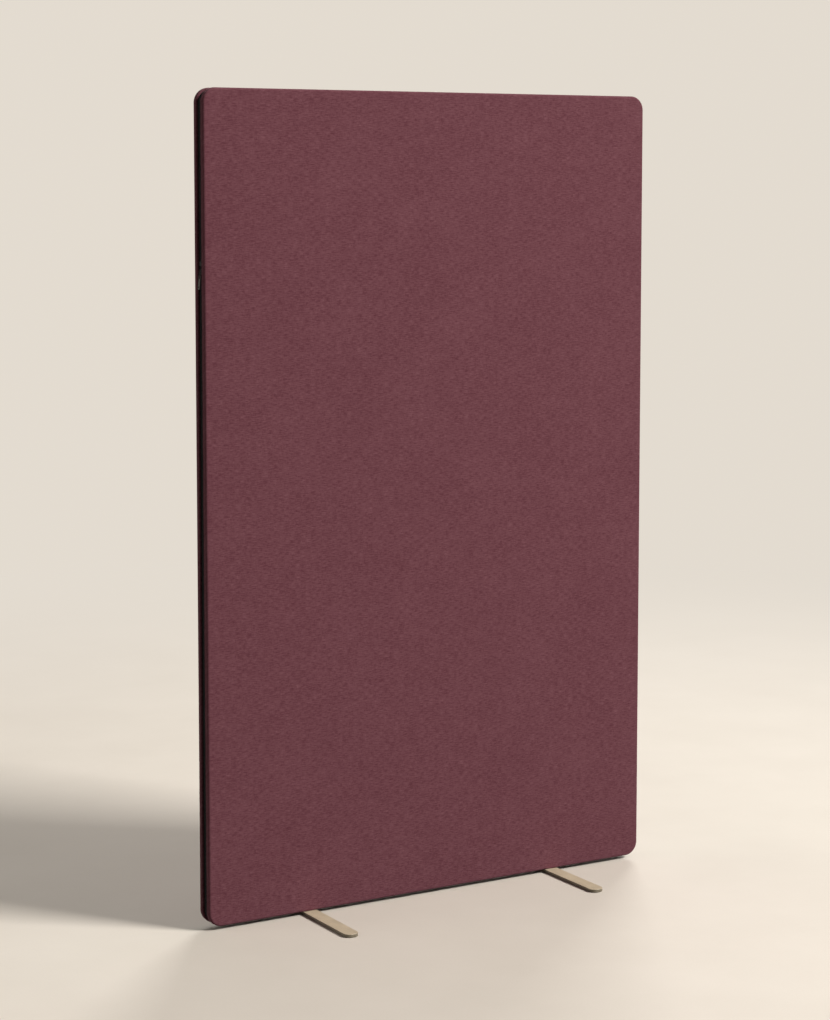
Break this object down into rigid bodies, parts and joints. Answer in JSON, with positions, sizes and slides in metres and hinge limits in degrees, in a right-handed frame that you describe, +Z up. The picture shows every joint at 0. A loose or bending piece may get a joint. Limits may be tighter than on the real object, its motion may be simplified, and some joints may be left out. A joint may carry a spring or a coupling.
{
  "type": "acoustic floor screen",
  "caption": "Free-standing upholstered acoustic divider panel with rounded corners, a zip round its edge and flat steel feet.",
  "frame": {"origin": "on the floor, under the middle of the panel", "axes": "+Z up, +X along the panel's width, +Y towards its rear; the front faces -Y"},
  "size_m": [1.0016, 0.38, 1.59],
  "materials": {
    "cover_fabric": "woven, matt",
    "pressed_felt": "pressed felt",
    "edge_foam": "foam",
    "zip_tape": "woven tape",
    "zip_coil": "satin",
    "frame_wood": "planed",
    "dowel_wood": "fluted",
    "absorber": "fibre board",
    "slider_metal": "satin",
    "tab_metal": "satin",
    "start_plastic": "satin",
    "foot_steel": "satin",
    "pad_felt": "matt",
    "screw_steel": "zinc plated",
    "insert_brass": "turned"
  },
  "bodies": {
    "screen": {"front_cover": "cover_fabric", "rear_cover": "cover_fabric", "front_felt": "pressed_felt", "rear_felt": "pressed_felt", "front_edge_foam": "edge_foam", "rear_edge_foam": "edge_foam", "front_zip_tape": "zip_tape", "rear_zip_tape": "zip_tape", "front_zip_coil": "zip_coil", "rear_zip_coil": "zip_coil", "left_stile": "frame_wood", "right_stile": "frame_wood", "top_rail": "frame_wood", "bottom_rail": "frame_wood", "upper_cross_rail": "frame_wood", "lower_cross_rail": "frame_wood", "frame_dowels": "dowel_wood", "upper_core": "absorber", "middle_core": "absorber", "lower_core": "absorber", "zip_end_stops": "slider_metal", "zip_start_box": "start_plastic", "zip_start_pin": "start_plastic", "left_foot": "foot_steel", "right_foot": "foot_steel", "foot_pads": "pad_felt", "foot_screws": "screw_steel", "foot_spacers": "screw_steel", "foot_inserts": "insert_brass"},
    "zip_slider": {"zip_slider_body": "slider_metal"},
    "zip_pull": {"zip_pull_tab": "tab_metal"}
  },
  "joints": [
    {"name": "zip_slide", "type": "slide", "parent": "screen", "child": "zip_slider", "axis": [0, 0, -1], "range_m": [0, 1.2], "deforming": ["front_zip_coil", "rear_zip_coil"]},
    {"name": "pull_swing", "type": "hinge", "parent": "zip_slider", "child": "zip_pull", "pos_m": [-0.4984, 0, 1.2445], "axis": [0, 1, 0], "range_deg": [0, 170]}
  ]
}
